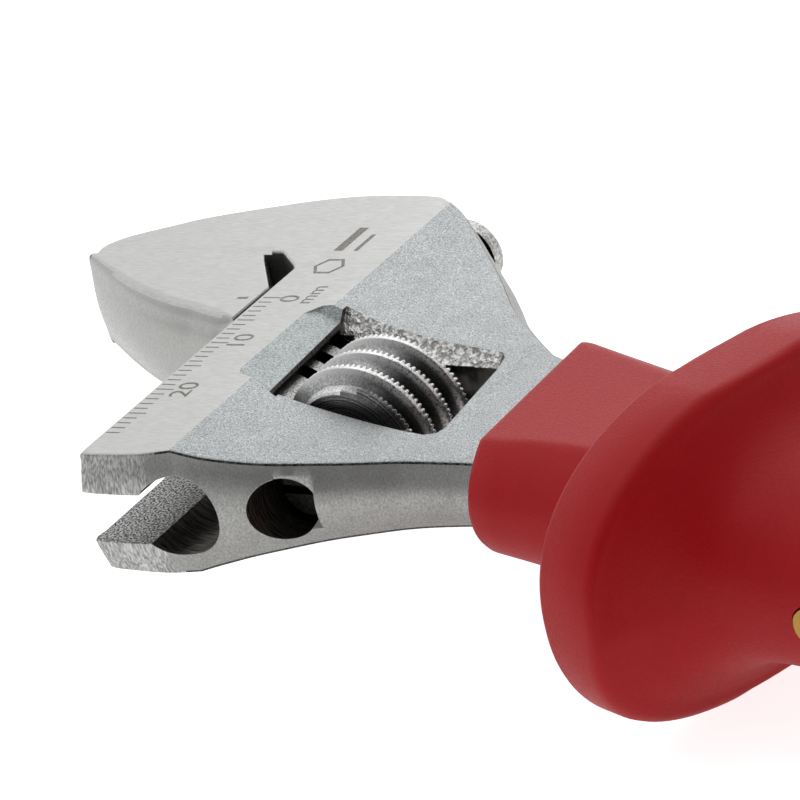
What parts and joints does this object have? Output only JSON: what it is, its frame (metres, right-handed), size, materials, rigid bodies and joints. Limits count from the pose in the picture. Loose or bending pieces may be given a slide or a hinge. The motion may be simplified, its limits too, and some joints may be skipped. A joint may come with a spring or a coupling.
{
  "type": "adjustable wrench",
  "caption": "Insulated adjustable wrench: steel head with a sliding jaw on a round rack, a knurled worm that moves it, and a moulded two-colour handle with a hand guard.",
  "frame": {"origin": "centre of the bounding box, with the jaws closed", "axes": "+X along the handle towards the jaws, +Y the side the jaws open to, +Z through the wrench's thickness"},
  "size_m": [0.2626, 0.0592, 0.0322],
  "materials": {
    "satin_chrome": "satin chrome plate, finely ground on the two flat faces of the head",
    "worm_steel": "turned and knurled steel, bright crests over dark flanks",
    "pin_steel": "dark oiled steel",
    "red_insulation": "satin moulded red insulation with a fine grain",
    "yellow_insulation": "soft satin yellow insulation"
  },
  "bodies": {
    "frame": {"frame": "satin_chrome", "worm_pin": "pin_steel", "worm_spring": "pin_steel", "inner_insulation": "yellow_insulation", "outer_insulation": "red_insulation", "grip_inlay_jaw_side": "yellow_insulation", "grip_inlay_back_side": "yellow_insulation"},
    "jaw": {"moving_jaw": "satin_chrome"},
    "worm": {"worm": "worm_steel"}
  },
  "joints": [
    {"name": "jaw_slide", "type": "slide", "parent": "frame", "child": "jaw", "axis": [-0.342, 0.9397, 0], "range_m": [0, 0.03]},
    {"name": "worm_spin", "type": "hinge", "parent": "frame", "child": "worm", "pos_m": [0.07588, 0.00335, 0], "axis": [0.342, -0.9397, 0], "range_deg": [0, 3410]}
  ],
  "couplings": [
    {"joint": "worm_spin", "follows": "jaw_slide", "rad_per_m": 1979}
  ]
}
